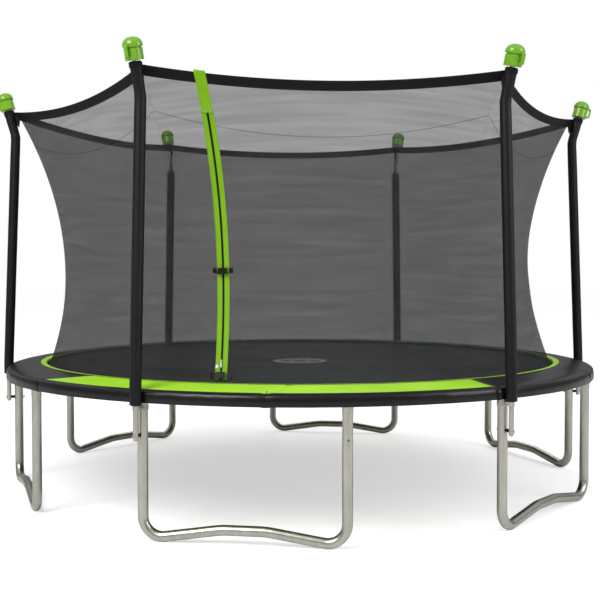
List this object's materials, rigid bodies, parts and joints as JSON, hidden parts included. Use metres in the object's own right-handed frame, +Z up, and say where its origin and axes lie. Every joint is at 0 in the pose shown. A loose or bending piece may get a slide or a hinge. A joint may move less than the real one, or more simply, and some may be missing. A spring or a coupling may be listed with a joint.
{
  "type": "trampoline",
  "caption": "Round backyard trampoline on bent W-shaped legs, with a padded spring cover and a zip-door safety net on foam-covered poles.",
  "frame": {"origin": "centre of the object on the ground", "axes": "+Z up; -Y towards the side with the zip door; poles at 30, 90 and 150 degrees either side of -Y"},
  "size_m": [3.8698, 3.6836, 2.4508],
  "materials": {
    "galvanised_steel": "satin galvanised",
    "pole_steel": "polished",
    "zinc_fasteners": "dull zinc",
    "spacer_plastic": "matte",
    "pole_foam": "coated charcoal sleeve",
    "green_plastic": "gloss",
    "black_vinyl": "smooth coated vinyl",
    "green_vinyl": "smooth coated vinyl",
    "mat_weave": "tight woven",
    "black_webbing": "woven webbing",
    "spring_steel": "zinc plated",
    "net_mesh": "fine open mesh",
    "green_webbing": "woven webbing",
    "zip_teeth": "moulded",
    "zip_metal": "die cast",
    "black_plastic": "moulded acetal"
  },
  "bodies": {
    "frame": {"buckle_sockets": "black_plastic", "corner_straps": "black_webbing", "door_straps": "black_webbing", "enclosure_net": "net_mesh", "foam_sleeve_1": "pole_foam", "foam_sleeve_2": "pole_foam", "foam_sleeve_3": "pole_foam", "foam_sleeve_4": "pole_foam", "foam_sleeve_5": "pole_foam", "foam_sleeve_6": "pole_foam", "leg_tubes": "galvanised_steel", "net_top_band": "black_webbing", "pad_black": "black_vinyl", "pad_green": "green_vinyl", "pole_bolts": "zinc_fasteners", "pole_cap_1": "green_plastic", "pole_cap_2": "green_plastic", "pole_cap_3": "green_plastic", "pole_cap_4": "green_plastic", "pole_cap_5": "green_plastic", "pole_cap_6": "green_plastic", "pole_clamps": "zinc_fasteners", "pole_lower_1": "pole_steel", "pole_lower_2": "pole_steel", "pole_lower_3": "pole_steel", "pole_lower_4": "pole_steel", "pole_lower_5": "pole_steel", "pole_lower_6": "pole_steel", "pole_nuts": "zinc_fasteners", "pole_spacers": "spacer_plastic", "pole_upper_1": "pole_steel", "pole_upper_2": "pole_steel", "pole_upper_3": "pole_steel", "pole_upper_4": "pole_steel", "pole_upper_5": "pole_steel", "pole_upper_6": "pole_steel", "springs": "spring_steel", "t_sockets": "galvanised_steel", "top_rail_1": "galvanised_steel", "top_rail_2": "galvanised_steel", "top_rail_3": "galvanised_steel", "top_rail_4": "galvanised_steel", "top_rail_5": "galvanised_steel", "top_rail_6": "galvanised_steel", "w_leg_1": "galvanised_steel", "w_leg_2": "galvanised_steel", "w_leg_3": "galvanised_steel", "w_leg_4": "galvanised_steel", "w_leg_5": "galvanised_steel", "w_leg_6": "galvanised_steel", "zip_chain": "zip_teeth", "zip_tapes": "green_webbing"},
    "mat": {"jump_mat": "mat_weave", "mat_hem": "black_webbing", "mat_rings": "spring_steel"},
    "zip_slider": {"zip_slider": "zip_metal"},
    "zip_pull": {"zip_pull": "zip_metal"},
    "buckle_plug_mid": {"buckle_plug_mid": "black_plastic"},
    "buckle_plug_low": {"buckle_plug_low": "black_plastic"}
  },
  "joints": [
    {"name": "mat_bounce", "type": "slide", "parent": "frame", "child": "mat", "axis": [0, 0, 1], "range_m": [-0.4, 0], "stiffness_N_per_m": 4000, "springref_m": 0.08, "deforming": ["springs"]},
    {"name": "zip_open", "type": "hinge", "parent": "frame", "child": "zip_slider", "pos_m": [-1.17382, -3.13967, 1.44108], "axis": [0.9349, -0.3521, 0.0458], "range_deg": [0, 37.61]},
    {"name": "zip_pull_swing", "type": "hinge", "parent": "zip_slider", "child": "zip_pull", "pos_m": [-0.51496, -1.46683, 0.87425], "axis": [-0.9549, 0.2946, -0.0364], "range_deg": [0, 140]},
    {"name": "buckle_mid_release", "type": "slide", "parent": "frame", "child": "buckle_plug_mid", "axis": [0.9793, -0.1993, 0.0358], "range_m": [0, 0.03]},
    {"name": "buckle_low_release", "type": "slide", "parent": "frame", "child": "buckle_plug_low", "axis": [0.9514, -0.3052, 0.0403], "range_m": [0, 0.03]}
  ]
}
